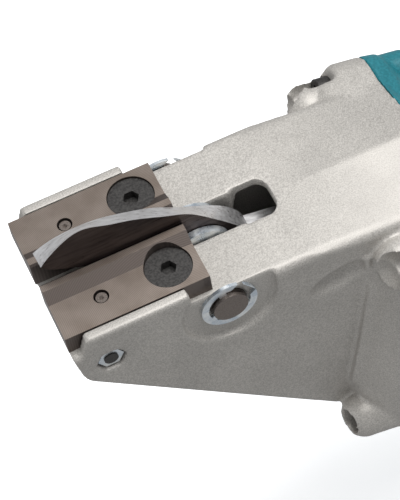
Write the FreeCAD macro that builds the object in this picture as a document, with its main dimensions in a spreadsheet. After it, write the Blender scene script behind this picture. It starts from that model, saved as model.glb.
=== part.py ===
"""Electric shear for cement board: a swinging centre blade between two fixed side blades.

Two local frames share the centre plane y = 0.  The head frame lies on the blades: x runs
to the rear, z = 0 is the flat top of the side blades and x = 0 is at their screws.  The
drive frame lies on the motor: x runs to the rear along the motor axis, tips down behind
the head by drive_tilt and starts inside the gear case, 'joint' ahead of its rear face.
"""
import FreeCAD
import Part

import math
import os
import re

import Sketcher

doc = FreeCAD.newDocument("cement_board_shear")
sheet = doc.addObject("Spreadsheet::Sheet", "Dimensions")

# alias, value in mm or degrees, meaning
DIMENSIONS = [
    ("frame_x", 0, "row frame: shift of every piece along x"),
    ("frame_z", 0, "row frame: shift of every piece along z"),
    ("drive_tilt", 12.6, "motor axis runs down behind the deck by this angle"),
    ("drive_x", 80.26, "origin of the drive frame, head frame"),
    ("drive_z", -71.48, "origin of the drive frame, head frame"),
    ("joint", 5, "joint between gear case and motor housing, drive frame"),
    ("crease_x", 101, "rear end of the roof's crease before it is cut at the joint"),
    ("crease_z", -8.2, "rear end of the roof's crease"),
    # head casting
    ("nose_front", -40.8, "front face under the blades"),
    ("nose_half", 30.2, "half width of the nose"),
    ("deck_z", -8, "deck that carries the blades"),
    ("chin_x", -38.6, "front end of the chin"),
    ("chin_z", -22, "corner of the chin before rounding"),
    ("heel_x", 45.6, "rear end of the sloping underside"),
    ("heel_z", -105.4, "rear end of the sloping underside"),
    ("nose_rear", 70, "rear end of the nose inside the gear case"),
    ("chin_round", 11, "rounding of the chin"),
    ("deck_round", 3, "rounding of the deck's long edges"),
    ("roof_fall", 6, "fall of the roof from its middle to its flanks at the joint"),
    ("fence_in", 26.3, "inner face of the fence beside a side blade"),
    ("fence_front", -34.8, "top front end of a fence"),
    ("fence_rear", 1.5, "rear end of a fence"),
    ("fence_run", 4.2, "forward lean of the fence's front end"),
    ("fence_round", 1.2, "rounding of the fence's edges"),
    ("slot_half", 6.6, "half width of the blade slot in the deck"),
    ("slot_floor", -24, "floor of the slot under the beak"),
    ("window_front", 32, "front of the wide end of the slot"),
    ("window_rear", 43.5, "rear of the wide end of the slot"),
    ("window_half", 7.7, "half width of the wide end of the slot"),
    ("window_round", 4.2, "rounding of the window's rear corners"),
    ("cavity_half", 13.5, "half width of the lever chamber"),
    ("deck_under", -11.5, "underside of the deck over the lever chamber"),
    ("face_radius", 17, "machined face round the pivot pin"),
    ("face_half", 27.9, "half distance between the machined faces"),
    ("pivot_x", 14.3, "pivot of the centre blade"),
    ("pivot_z", -15.8, "pivot of the centre blade"),
    ("pin_radius", 6.2, "pivot pin"),
    ("pin_half", 30.3, "half length of the pivot pin"),
    ("pin_groove", 5.2, "bottom radius of the ring grooves in the pin"),
    ("ring_radius", 10, "outside of the pin's snap ring"),
    ("ring_thick", 1.2, "thickness of the pin's snap ring"),
    ("running", 0.05, "running clearance on a radius"),
    ("gap", 0.3, "free gap between pieces that pass each other"),
    # side blades and their fasteners
    ("blade_front", -40.8, "front end of the side blades"),
    ("blade_rear", 10.6, "rear end of the side blades"),
    ("blade_out", 25.8, "outer side of the side blades"),
    ("kerf_half", 3.98, "half width of the gap between the side blades"),
    ("ridge_out", 7.26, "outer side of the raised cutting ridge"),
    ("slope_out", 11.4, "outer side of the slope beside the ridge"),
    ("ridge_up", 2.67, "height of the cutting ridge over the flat"),
    ("ridge_bevel", 0.7, "bevel along the cutting edge"),
    ("screw_y", 15.84, "side blade screw, from the centre plane"),
    ("head_radius", 8, "M8 countersunk head"),
    ("head_sink", 0.9, "countersunk head below the blade's flat"),
    ("head_tall", 4.2, "height of the countersunk head's cone"),
    ("screw_radius", 4, "M8 shank"),
    ("screw_end", -26, "lower end of the blade screws"),
    ("socket_flats", 5, "hexagon socket of the M8 screws, across flats"),
    ("socket_deep", 3.4, "depth of the hexagon socket"),
    ("peg_x", -23.95, "locating pin"),
    ("peg_y", 16.05, "locating pin, from the centre plane"),
    ("peg_radius", 2, "locating pin"),
    ("peg_hole", 2.65, "hole for the locating pin in the blade"),
    ("peg_end", -16, "lower end of the locating pin"),
    ("peg_top", -0.7, "upper end of the locating pin"),
    ("tie_x", -28.5, "bolt that ties the two flanks under the beak"),
    ("tie_z", -16.4, "bolt that ties the two flanks under the beak"),
    ("tie_radius", 2.5, "M5 bolt"),
    ("tie_nut_flats", 8, "M5 nut and bolt head, across flats"),
    ("tie_pocket_flats", 9.6, "hexagonal pocket for nut and head, across flats"),
    ("tie_pocket", 6.5, "depth of the pockets"),
    # centre blade
    ("kerf_blade", 7.4, "thickness of the centre blade"),
    ("hub_radius", 11.5, "thrust washers at the pivot"),
    ("bush_radius", 8.2, "outside of the pivot bush"),
    # drive, in the drive frame
    ("case_up", 59.5, "top of the gear case's shoulders above the motor axis"),
    ("case_down", 50, "bottom of the gear case below the motor axis"),
    ("case_half", 47, "half width of the gear case at its rear face"),
    ("case_round", 10, "corner rounding of the gear case"),
    ("crease_up", 66, "crease of the roof above the motor axis at the joint"),
    ("case_front", -25, "front end of the gear case's flare"),
    ("case_flange", -6, "front of the straight flange"),
    ("seat_half", 39.1, "half width of the bearing plate's seat"),
    ("seat_round", 15, "corner rounding of the bearing plate's seat"),
    ("case_wall", 4.5, "wall of the gear case"),
    ("chamber_half", 24, "half width of the gear chamber"),
    ("chamber_down", -9.5, "bottom of the gear chamber"),
    ("chamber_up", 47.5, "top of the gear chamber"),
    ("web_front", -32, "front face of the bearing web"),
    ("web_rear", -22, "rear face of the bearing web"),
    ("crank_up", 24, "crank axis above the motor axis"),
    ("throw", 3.8, "eccentricity of the crank pin"),
    ("gear_teeth", 39, "teeth of the crank gear"),
    ("pinion_teeth", 9, "teeth of the motor pinion"),
    ("tooth_module", 1, "module of the gears"),
    ("gear_front", -20.5, "front face of the crank gear"),
    ("gear_rear", -11.5, "rear face of the crank gear"),
    ("gear_bore", 7.5, "bore of the crank gear"),
    ("plate_front", -10, "front face of the bearing plate"),
    ("pin_front", -48, "front end of the crank pin"),
    ("roller_front", -47, "front end of the crank pin's roller bearing"),
    ("roller_rear", -39, "rear end of the crank pin's roller bearing"),
    ("roller_radius", 7.5, "outside of the crank pin's roller bearing"),
    ("crank_pin", 4.5, "crank pin"),
    ("crank_disc", 9, "crank disc"),
    ("shaft_radius", 5, "armature shaft"),
    ("lug_upper", 10, "radius of the upper screw lugs"),
    ("lug_lower", 8.5, "radius of the lower screw lugs"),
    ("lug_y_up", 36, "upper screw lugs, from the centre plane"),
    ("lug_y_down", 37, "lower screw lugs, from the centre plane"),
    ("lug_up", 45, "upper screw lugs above the motor axis"),
    ("lug_down", -42, "lower screw lugs below the motor axis"),
    ("screw_y_up", 40, "upper housing screws, from the centre plane"),
    ("screw_y_down", 38, "lower housing screws, from the centre plane"),
    ("screw_up", 49.5, "upper housing screws above the motor axis"),
    ("screw_down", -42.5, "lower housing screws below the motor axis"),
    ("lug_front", -27, "front end of the screw lugs"),
    ("seat_front", -8, "seat of the housing screws' heads"),
    ("screw_reach", 20, "rear end of the housing screws"),
    ("cap_radius", 4.25, "M5 cap screw head"),
    ("cap_tall", 5, "M5 cap screw head"),
    # motor and housings, in the drive frame
    ("barrel", 43, "outside of the motor housing's barrel"),
    ("barrel_in", 39.4, "inside of the motor housing's barrel"),
    ("barrel_full", 34, "where the housing has become a round barrel"),
    ("barrel_rear", 92, "rear face of the motor housing"),
    ("tail_rear", 152, "rear end of the handle shell"),
    ("shell_wall", 3, "wall of the handle shells"),
    ("grip_half", 17.5, "half width of the grip"),
    ("grip_end", -128, "bottom of the grip below the motor axis"),
    ("stator_front", 17, "front face of the field core"),
    ("stator_rear", 65, "rear face of the field core"),
    ("stator_in", 22, "bore of the field core"),
    ("core_radius", 21.4, "armature core"),
    ("com_front", 75, "front of the commutator"),
    ("com_rear", 89, "rear of the commutator"),
    ("com_radius", 12.5, "commutator"),
    ("rear_seat", 97, "front of the rear armature bearing"),
    ("fan_radius", 33, "fan"),
    ("inlet_radius", 4.2, "bore of the cord inlet"),
    ("inlet_reach", 9, "the inlet stands out of the grip's end by this much"),
]

for row, (alias, value, meaning) in enumerate(DIMENSIONS, start=1):
    sheet.set("A%d" % row, meaning)
    sheet.set("B%d" % row, str(value))
    sheet.setAlias("B%d" % row, alias)
doc.recompute()

ALIASES = {alias for alias, value, meaning in DIMENSIONS}
pieces = []


def cell(text):
    """Turn words in an expression into references to the sheet's cells."""
    def name(found):
        word = found.group(0)
        return "Dimensions." + word if word in ALIASES else word
    return re.sub(r"[A-Za-z_][A-Za-z_0-9]*", name, str(text))


def number(text):
    """Value of an expression of the sheet's cells."""
    return float(sheet.evalExpression(cell(text)))


def bind(thing, prop, text):
    thing.setExpression(prop, cell(text))


def place(thing, x="0", y="0", z="0"):
    bind(thing, "Placement.Base.x", x)
    bind(thing, "Placement.Base.y", y)
    bind(thing, "Placement.Base.z", z)


def block(name, x, y, z):
    """Box between two limits on each axis."""
    box = doc.addObject("Part::Box", name)
    for side, (low, high) in zip(("Length", "Width", "Height"), (x, y, z)):
        bind(box, side, "(%s) - (%s)" % (high, low))
    place(box, x[0], y[0], z[0])
    return box


TURN = {
    "x": FreeCAD.Rotation(FreeCAD.Vector(0, 1, 0), 90),
    "y": FreeCAD.Rotation(FreeCAD.Vector(1, 0, 0), -90),
    "z": FreeCAD.Rotation(),
}


def along(thing, axis, start, across):
    """Stand a round solid on its axis: start along it, across the other two in order."""
    first, second = across
    thing.Placement = FreeCAD.Placement(FreeCAD.Vector(), TURN[axis])
    spot = {"x": (start, first, second), "y": (first, start, second), "z": (first, second, start)}
    place(thing, *spot[axis])
    return thing


def bar(name, axis, radius, start, end, across=("0", "0")):
    """Round bar from start to end along an axis."""
    rod = doc.addObject("Part::Cylinder", name)
    bind(rod, "Radius", radius)
    bind(rod, "Height", "(%s) - (%s)" % (end, start))
    return along(rod, axis, start, across)


def cone(name, axis, radius_start, radius_end, start, end, across=("0", "0")):
    taper = doc.addObject("Part::Cone", name)
    bind(taper, "Radius1", radius_start)
    bind(taper, "Radius2", radius_end)
    bind(taper, "Height", "(%s) - (%s)" % (end, start))
    return along(taper, axis, start, across)


def hexagon(name, axis, flats, start, end, across=("0", "0")):
    nut = doc.addObject("Part::Prism", name)
    nut.Polygon = 6
    bind(nut, "Circumradius", "(%s) / sqrt(3)" % flats)
    bind(nut, "Height", "(%s) - (%s)" % (end, start))
    return along(nut, axis, start, across)


def fuse(name, *parts):
    joined = doc.addObject("Part::MultiFuse", name)
    joined.Shapes = list(parts)
    return joined


def cut(name, base, *tools):
    result = doc.addObject("Part::Cut", name)
    result.Base = base
    result.Tool = tools[0] if len(tools) == 1 else fuse(name + "_tools", *tools)
    return result


def group(name, *parts):
    together = doc.addObject("Part::Compound", name)
    together.Links = list(parts)
    return together


def mirror(name, source):
    """The same piece on the other side of the centre plane."""
    other = doc.addObject("Part::Mirroring", name)
    other.Source = source
    other.Normal = (0, 1, 0)
    return other


def pair(name, source):
    return group(name, source, mirror(name + "_mirror", source))


def tube(name, axis, outer, inner, start, end, across=("0", "0")):
    return cut(
        name,
        bar(name + "_outer", axis, outer, start, end, across),
        bar(name + "_inner", axis, inner, start, end, across),
    )


PLANES = {"XZ": ("XZ_Plane", "-(%s)", True), "YZ": ("YZ_Plane", "(%s)", False)}


def outline_sketch(body, name, plane, points, offset):
    """Closed outline with straight sides; each corner is bound to the sheet."""
    role, sign, reverse = PLANES[plane]
    sketch = body.newObject("Sketcher::SketchObject", name)
    origin = [item for item in body.Origin.OriginFeatures if item.Role == role][0]
    sketch.AttachmentSupport = [(origin, "")]
    sketch.MapMode = "FlatFace"
    bind(sketch, "AttachmentOffset.Base.z", sign % offset)
    spots = [FreeCAD.Vector(number(u), number(v), 0) for u, v in points]
    for start, end in zip(spots, spots[1:] + spots[:1]):
        sketch.addGeometry(Part.LineSegment(start, end))
    count = len(points)
    for side in range(count):
        sketch.addConstraint(Sketcher.Constraint("Coincident", side, 2, (side + 1) % count, 1))
    for side, (u, v) in enumerate(points):
        for kind, text in (("DistanceX", u), ("DistanceY", v)):
            rule = Sketcher.Constraint(kind, -1, 1, side, 1, number(text))
            where = sketch.addConstraint(rule)
            sketch.setExpression("Constraints[%d]" % where, cell(text))
    return sketch


def plate(name, plane, points, low, high, rounds=()):
    """Pad of an outline between two offsets; rounds are (test on an edge, radius)."""
    body = doc.addObject("PartDesign::Body", name)
    sketch = outline_sketch(body, name + "_outline", plane, points, low)
    pad = body.newObject("PartDesign::Pad", name + "_pad")
    pad.Profile = sketch
    pad.Reversed = PLANES[plane][2]
    bind(pad, "Length", "(%s) - (%s)" % (high, low))
    doc.recompute()
    feature = pad
    for turn, (test, radius) in enumerate(rounds):
        edges = ["Edge%d" % (i + 1) for i, edge in enumerate(feature.Shape.Edges) if test(edge)]
        rounding = body.newObject("PartDesign::Fillet", "%s_round_%d" % (name, turn))
        rounding.Base = (feature, edges)
        bind(rounding, "Radius", radius)
        doc.recompute()
        feature = rounding
    return body


def loft(name, sections):
    """Solid through rounded rectangles across x: (x, half width, bottom, top, corner)."""
    body = doc.addObject("PartDesign::Body", name)
    sketches = []
    for place_in_row, (offset, *sizes) in enumerate(sections):
        sketch = body.newObject("Sketcher::SketchObject", "%s_%d" % (name, place_in_row))
        origin = [item for item in body.Origin.OriginFeatures if item.Role == "YZ_Plane"][0]
        sketch.AttachmentSupport = [(origin, "")]
        sketch.MapMode = "FlatFace"
        bind(sketch, "AttachmentOffset.Base.z", offset)
        half, down, up, radius = (number(text) for text in sizes)
        centres = [
            (half - radius, down + radius, -90),
            (half - radius, up - radius, 0),
            (-half + radius, up - radius, 90),
            (-half + radius, down + radius, 180),
        ]
        arcs = []
        for u, v, start in centres:
            circle = Part.Circle(FreeCAD.Vector(u, v, 0), FreeCAD.Vector(0, 0, 1), radius)
            arcs.append(Part.ArcOfCircle(circle, math.radians(start), math.radians(start + 90)))
            sketch.addGeometry(arcs[-1])
        for corner in range(4):
            after = (corner + 1) % 4
            sketch.addGeometry(Part.LineSegment(arcs[corner].EndPoint, arcs[after].StartPoint))
            side = 4 + corner
            sketch.addConstraint(Sketcher.Constraint("Coincident", corner, 2, side, 1))
            sketch.addConstraint(Sketcher.Constraint("Coincident", side, 2, after, 1))
        sketches.append(sketch)
    skin = body.newObject("PartDesign::AdditiveLoft", name + "_loft")
    skin.Profile = sketches[0]
    skin.Sections = sketches[1:]
    skin.Ruled = True
    return body


def tilted(name, thing):
    """Copy of a drive frame solid, turned into the head frame."""
    turned = group(name, thing)
    turned.Placement = FreeCAD.Placement(
        FreeCAD.Vector(), FreeCAD.Rotation(FreeCAD.Vector(0, 1, 0), number("drive_tilt"))
    )
    bind(turned, "Placement.Rotation.Angle", "drive_tilt")
    place(turned, "drive_x", "0", "drive_z")
    return turned




def piece(label, thing, frame="head"):
    """A finished piece, set into the row frame."""
    final = group(label + "_piece", thing)
    if frame == "drive":
        final.Placement = FreeCAD.Placement(
            FreeCAD.Vector(), FreeCAD.Rotation(FreeCAD.Vector(0, 1, 0), number("drive_tilt"))
        )
        bind(final, "Placement.Rotation.Angle", "drive_tilt")
        place(final, "frame_x + drive_x", "0", "frame_z + drive_z")
    else:
        place(final, "frame_x", "0", "frame_z")
    final.Label = label
    pieces.append(final)
    return final


def feature(name, shape):
    made = doc.addObject("Part::Feature", name)
    made.Shape = shape
    return made


def in_plane(u, v, y):
    return FreeCAD.Vector(u, y, v)


def edge_at(u, v, reach=0.6):
    """Test for a straight edge across the centre plane at (u, v)."""
    def test(edge):
        middle = edge.CenterOfMass
        return (
            abs(middle.x - number(u)) < reach
            and abs(middle.z - number(v)) < reach
            and abs(middle.y) < reach
        )
    return test


# ---------------------------------------------------------------- head casting

# screw and lug, each from the centre plane and above the motor axis, and the lug's radius
HOUSING_SCREWS = [
    ("screw_y_up", "screw_up", "lug_y_up", "lug_up", "lug_upper"),
    ("-screw_y_up", "screw_up", "-lug_y_up", "lug_up", "lug_upper"),
    ("screw_y_down", "screw_down", "lug_y_down", "lug_down", "lug_lower"),
    ("-screw_y_down", "screw_down", "-lug_y_down", "lug_down", "lug_lower"),
]
SCREW_SPOTS = [spots[:2] for spots in HOUSING_SCREWS]


def head_casting():
    """Cast nose and gear case in one: deck, fences, slot, lever chamber and flange."""
    def long_edge(edge):
        """An upper edge that runs along a flank."""
        middle = edge.CenterOfMass
        run = edge.tangentAt(edge.FirstParameter)
        flank = abs(abs(middle.y) - number("nose_half")) < 0.1
        return flank and abs(run.x) > 0.9 and middle.z > number("deck_z - 9")

    nose = plate(
        "nose", "XZ",
        [
            ("nose_front", "deck_z"),
            ("chin_x", "chin_z"),
            ("heel_x", "heel_z"),
            ("nose_rear", "heel_z - 6"),
            ("nose_rear", "deck_z - roof_fall"),
            ("window_rear", "deck_z"),
        ],
        "-nose_half", "nose_half",
        rounds=[
            (edge_at("chin_x", "chin_z"), "chin_round"),
            (lambda edge: long_edge(edge) and edge.CenterOfMass.z > number("deck_z") - 0.1,
             "deck_round"),
        ],
    )
    roof = doc.addObject("PartDesign::Body", "roof")
    sections = []
    for where, middle, side in (
        ("window_rear", "deck_z", "deck_z"),
        ("crease_x", "crease_z", "crease_z - roof_fall"),
    ):
        half_top = [
            ("nose_half", side + " - deck_round"),
            ("nose_half - deck_round * 0.3", side + " - deck_round * 0.3"),
            ("nose_half - deck_round", side),
        ]
        other_half = [("-(%s)" % across, up) for across, up in reversed(half_top)]
        low = [("-nose_half", side + " - 24"), ("nose_half", side + " - 24")]
        sections.append(outline_sketch(
            roof, "roof_%d" % len(sections), "YZ", low + half_top + [("0", middle)] + other_half, where))
    skin = roof.newObject("PartDesign::AdditiveLoft", "roof_loft")
    skin.Profile = sections[0]
    skin.Sections = [sections[1]]
    skin.Ruled = True
    fence = plate(
        "fence", "XZ",
        [
            ("fence_front", "0"),
            ("fence_front - fence_run", "deck_z - 4"),
            ("fence_rear + 1", "deck_z - 4"),
            ("fence_rear", "0"),
        ],
        "fence_in", "nose_half",
        rounds=[(
            lambda edge: edge.CenterOfMass.z > number("deck_z / 2")
            and edge.CenterOfMass.y > number("nose_half") - 0.1,
            "fence_round",
        )],
    )
    flare = loft("flare", [
        ("case_front", "nose_half - 0.4", "-case_down + 23", "case_up - 13", "8"),
        ("case_front + 5", "nose_half + 7.2", "-case_down + 13", "case_up - 7.5", "case_round"),
        ("case_front + 11", "nose_half + 12.6", "-case_down + 5", "case_up - 3", "case_round"),
        ("case_flange", "case_half", "-case_down", "case_up", "case_round"),
        ("joint", "case_half", "-case_down", "case_up", "case_round"),
    ])
    lugs = []
    for spot, (side, up, lug_side, lug_up, radius) in enumerate(HOUSING_SCREWS):
        lugs.append(bar("lug_%d" % spot, "x", radius, "lug_front + " + radius, "joint",
                        (lug_side, lug_up)))
        dome = doc.addObject("Part::Sphere", "lug_dome_%d" % spot)
        bind(dome, "Radius", radius)
        place(dome, "lug_front + " + radius, lug_side, lug_up)
        lugs.append(dome)
    case = tilted("case_outside", fuse("case_solid", flare, *lugs))
    outside = fuse("casting_outside", nose, roof, fence, mirror("fence_mirror", fence), case)

    slot = plate(
        "slot", "XZ",
        [
            ("nose_front - 3", "8"),
            ("nose_front - 3", "slot_floor"),
            ("-12", "slot_floor"),
            ("-3", "slot_floor - 12"),
            ("window_front", "slot_floor - 12"),
            ("window_front", "8"),
        ],
        "-slot_half", "slot_half",
    )
    window = plate(
        "window", "XZ",
        [
            ("window_front - 1", "4"),
            ("window_front - 1", "deck_z - 20"),
            ("window_rear", "deck_z - 20"),
            ("window_rear", "4"),
        ],
        "-window_half", "window_half",
        rounds=[(
            lambda edge: edge.CenterOfMass.x > number("window_rear") - 0.1
            and abs(edge.tangentAt(edge.FirstParameter).z) > 0.9,
            "window_round",
        )],
    )
    chamber = plate(
        "chamber", "XZ",
        [
            ("34", "deck_under"),
            ("61.5", "deck_under"),
            ("48.5", "-70"),
            ("20", "-66"),
            ("5", "-52"),
            ("5", "-36"),
            ("30", "-36"),
            ("30", "-26"),
        ],
        "-cavity_half", "cavity_half",
    )
    faces = []
    for side, (low, high) in enumerate((("face_half", "nose_half + 1"), ("-nose_half - 1", "-face_half"))):
        faces.append(bar("face_%d" % side, "y", "face_radius", low, high, ("pivot_x", "pivot_z")))
        faces.append(block(
            "face_open_%d" % side,
            ("fence_rear + 1", "pivot_x + face_radius"), (low, high), ("pivot_z", "deck_z + 1"),
        ))
    pin_bore = bar("pin_bore", "y", "pin_radius", "-40", "40", ("pivot_x", "pivot_z"))
    tie_bore = bar("tie_bore", "y", "tie_radius", "-40", "40", ("tie_x", "tie_z"))
    pockets = [
        hexagon("tie_pocket_0", "y", "tie_pocket_flats", "nose_half - tie_pocket", "nose_half + 1",
                ("tie_x", "tie_z")),
        hexagon("tie_pocket_1", "y", "tie_pocket_flats", "-nose_half - 1", "-nose_half + tie_pocket",
                ("tie_x", "tie_z")),
    ]
    holes = []
    for side, sign in enumerate(("", "-")):
        holes.append(bar("screw_hole_%d" % side, "z", "screw_radius", "screw_end - 1", "0",
                         ("0", sign + "screw_y")))
        holes.append(bar("peg_hole_%d" % side, "z", "peg_radius", "peg_end", "0",
                         ("peg_x", sign + "peg_y")))

    gears = loft("gear_chamber", [
        ("web_rear", "chamber_half", "chamber_down", "chamber_up", "chamber_half - 2"),
        ("plate_front + 0.5", "chamber_half", "chamber_down", "chamber_up", "chamber_half - 2"),
    ])
    seat = loft("plate_seat", [
        ("plate_front", "seat_half", "-case_down + case_wall", "case_up - case_wall", "seat_round"),
        ("joint + 0.01", "seat_half", "-case_down + case_wall", "case_up - case_wall", "seat_round"),
    ])
    bearing_bore = bar("bearing_bore", "x", "16", "web_front + 1", "web_rear + 1", ("0", "crank_up"))
    shaft_bore = bar("shaft_bore", "x", "12.5", "web_front - 30", "web_rear", ("0", "crank_up"))
    screw_ways = []
    for spot, (side, up) in enumerate(SCREW_SPOTS):
        screw_ways.append(bar("screw_way_%d" % spot, "x", "2.7", "seat_front - 1", "joint + 1", (side, up)))
        screw_ways.append(bar("head_way_%d" % spot, "x", "cap_radius + 0.5", "lug_front - 9",
                              "seat_front", (side, up)))
        outward = side + (" - 3" if side.startswith("-") else " + 3")
        onward = up + (" + 9" if up == "screw_up" else " - 9")
        screw_ways.append(bar("head_open_%d" % spot, "x", "cap_radius + 2.2", "seat_front - 10",
                              "seat_front", (outward, onward)))
    behind = block("behind", ("joint", "joint + 40"), ("-60", "60"), ("-90", "90"))
    ways = tilted("case_ways", fuse("case_cuts", behind, gears, seat, bearing_bore, shaft_bore, *screw_ways))
    return cut("casting", outside, slot, window, chamber, *faces, pin_bore, tie_bore, *pockets,
               *holes, ways)


piece("head_casting", head_casting())


# ---------------------------------------------------------------- side blades

def side_blade():
    """Ground blade on the +y side: flat, slope and raised cutting ridge, with two holes."""
    blank = plate(
        "side_blade_blank", "YZ",
        [
            ("kerf_half", "deck_z"),
            ("blade_out", "deck_z"),
            ("blade_out", "0"),
            ("slope_out", "0"),
            ("ridge_out", "ridge_up"),
            ("kerf_half + ridge_bevel", "ridge_up"),
            ("kerf_half", "ridge_up - ridge_bevel"),
        ],
        "blade_front", "blade_rear",
    )
    across = ("0", "screw_y")
    return cut(
        "side_blade",
        blank,
        bar("blade_sink", "z", "head_radius + 0.2", "-head_sink - 0.4", "4", across),
        cone("blade_cone", "z", "screw_radius + 0.3", "head_radius + 0.2",
             "-head_sink - 0.4 - head_tall", "-head_sink - 0.4", across),
        bar("blade_hole", "z", "screw_radius + 0.3", "deck_z - 1", "0", across),
        bar("blade_peg_hole", "z", "peg_hole", "deck_z - 1", "3", ("peg_x", "peg_y")),
    )


def blade_screw():
    """M8 countersunk socket screw."""
    across = ("0", "screw_y")
    head = fuse(
        "blade_screw_solid",
        cone("screw_cone", "z", "screw_radius", "head_radius", "-head_sink - head_tall",
             "-head_sink - 0.4", across),
        bar("screw_rim", "z", "head_radius", "-head_sink - 0.4", "-head_sink", across),
        bar("screw_shank", "z", "screw_radius", "screw_end", "-head_sink - head_tall + 0.5", across),
    )
    socket = hexagon("screw_socket", "z", "socket_flats", "-head_sink - socket_deep", "1", across)
    return cut("blade_screw", head, socket)


right_blade = side_blade()
piece("side_blade_right", right_blade)
piece("side_blade_left", mirror("side_blade_mirror", right_blade))
piece("side_blade_screws", pair("blade_screw_pair", blade_screw()))
piece("locating_pins", pair("peg_pair", cut(
    "peg",
    bar("peg_bar", "z", "peg_radius", "peg_end", "peg_top", ("peg_x", "peg_y")),
    cone("peg_dimple", "z", "0.1", "0.8", "peg_top - 0.7", "peg_top", ("peg_x", "peg_y")),
)))

# ---------------------------------------------------------------- pivot and tie bolt

PIVOT = ("pivot_x", "pivot_z")
groove_low = "face_half"
groove_high = "face_half + ring_thick"
piece("pivot_pin", cut(
    "pivot_pin_turned",
    bar("pivot_bar", "y", "pin_radius", "-pin_half", "pin_half", PIVOT),
    tube("pivot_groove_0", "y", "pin_radius + 1", "pin_groove", groove_low, groove_high, PIVOT),
    tube("pivot_groove_1", "y", "pin_radius + 1", "pin_groove", "-(%s)" % groove_high,
         "-(%s)" % groove_low, PIVOT),
))


def snap_ring():
    """E-shaped snap ring, open to the upper rear, with three inner lugs."""
    disc = bar("ring_disc", "y", "ring_radius", groove_low, groove_high, PIVOT)
    bore = bar("ring_bore", "y", "pin_radius + 1.3", "0", "40", PIVOT)
    mouth = block("ring_mouth", ("0", "ring_radius + 2"), ("0", "40"),
                  ("-pin_groove * 0.86", "pin_groove * 0.86"))
    mouth.Placement = FreeCAD.Placement(
        FreeCAD.Vector(), FreeCAD.Rotation(FreeCAD.Vector(0, 1, 0), -35)
    )
    turned = group("ring_mouth_turned", mouth)
    place(turned, "pivot_x", "0", "pivot_z")
    lugs = []
    for spot, angle in enumerate((70, 180, 290)):
        lug = block("ring_lug_%d" % spot, ("pin_groove + 0.05", "ring_radius - 1"),
                    (groove_low, groove_high), ("-1.3", "1.3"))
        spun = group("ring_lug_spun_%d" % spot, lug)
        spun.Placement = FreeCAD.Placement(
            FreeCAD.Vector(), FreeCAD.Rotation(FreeCAD.Vector(0, 1, 0), -35 + angle)
        )
        place(spun, "pivot_x", "0", "pivot_z")
        lugs.append(spun)
    open_ring = cut("ring_open", disc, bore, turned)
    return fuse("snap_ring", open_ring, *lugs)


piece("pivot_snap_rings", pair("snap_ring_pair", snap_ring()))
piece("thrust_washers", pair("washer_pair", cut(
    "washer",
    tube("washer_ring", "y", "hub_radius", "pin_radius + 0.2", "kerf_blade / 2 + gap",
         "slot_half - 0.1", PIVOT),
    block("washer_flat", ("-10", "blade_rear + 0.4"), ("0", "20"), ("deck_z - 0.4", "10")),
)))

TIE = ("tie_x", "tie_z")
nut_seat = "nose_half - tie_pocket"
piece("tie_bolt", fuse(
    "tie_bolt_solid",
    bar("tie_shank", "y", "tie_radius", "-nose_half + 1", "nose_half - tie_pocket + 0.2", TIE),
    hexagon("tie_head", "y", "tie_nut_flats", nut_seat, nut_seat + " + 3.6", TIE),
))
piece("tie_nut", cut(
    "tie_nut_solid",
    hexagon("tie_nut_hex", "y", "tie_nut_flats", "-(%s) - 5" % nut_seat, "-(%s) - 1" % nut_seat, TIE),
    bar("tie_nut_bore", "y", "tie_radius", "-40", "0", TIE),
))
piece("tie_washer", tube("tie_washer_ring", "y", "4.6", "tie_radius", "-(%s) - 1" % nut_seat,
                         "-(%s)" % nut_seat, TIE))

# ---------------------------------------------------------------- centre blade


def centre_blade():
    """Beak, twisted back edge and forked lever in one plate; the back edge leans over
    towards the +y side along the beak and levels out on its way to the fork."""
    near_top = [(-38.3, 11), (-30.9, 17.7), (-22.2, 21.1), (-13.7, 18.0), (-6, 15.2), (6.6, 8.8),
                (11.8, 6.2), (20, -1.6), (28.5, -12), (33.5, -19.4)]
    far_top = [(-38.5, 9.6), (-31.2, 12.6), (-23, 13.6), (-15.8, 13.0), (-5, 9.8), (5.0, 5.4),
               (12.8, 0.2), (19, -3.4), (26.2, -8.4), (33.5, -19.4)]
    rest = [(53.1, -23.7), (52.0, -28.6), (34.9, -24.8), (27.9, -56.4), (40.1, -59.1),
            (39.0, -63.8), (20.4, -59.7), (6.5, -31), (1.0, -19.5), (-10.8, -4.6), (-26, 2.3),
            (-35.6, 7.6)]
    half = number("kerf_blade / 2")
    wires = []
    for top, y in ((near_top, -half), (far_top, half)):
        back = Part.BSplineCurve()
        back.interpolate([in_plane(u, v, y) for u, v in top])
        corners = [in_plane(u, v, y) for u, v in [top[-1]] + rest + [top[0]]]
        sides = [Part.makeLine(a, b) for a, b in zip(corners, corners[1:])]
        wires.append(Part.Wire([back.toShape()] + sides))
    return feature("centre_blade_blank", Part.makeLoft(wires, True, True))


piece("centre_blade", cut(
    "centre_blade_bored", centre_blade(),
    bar("blade_bore", "y", "bush_radius", "-20", "20", PIVOT),
))
piece("pivot_bush", tube("bush", "y", "bush_radius", "pin_radius + running", "-kerf_blade / 2",
                         "kerf_blade / 2", PIVOT))

# ---------------------------------------------------------------- crank and gears

CRANK = ("0", "crank_up")


def gear_outline(teeth, tip, root, half_tooth):
    """Outline of an involute spur gear; half_tooth is the half angle at the pitch circle."""
    module = number("tooth_module")
    pitch = module * teeth / 2
    base = pitch * math.cos(math.radians(PRESSURE))

    def roll(radius):
        angle = math.acos(min(1.0, base / radius))
        return math.tan(angle) - angle

    outline = []
    for tooth in range(teeth):
        middle = 2 * math.pi * tooth / teeth
        low = max(root, base)
        radii = [low + (tip - low) * step / 4 for step in range(5)]
        flank = [(radius, half_tooth + roll(pitch) - roll(radius)) for radius in radii]
        flank = [(root, flank[0][1])] + flank if root < base else flank
        outline += [(radius, middle - angle) for radius, angle in flank]
        outline += [(radius, middle + angle) for radius, angle in reversed(flank)]
    return outline


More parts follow.
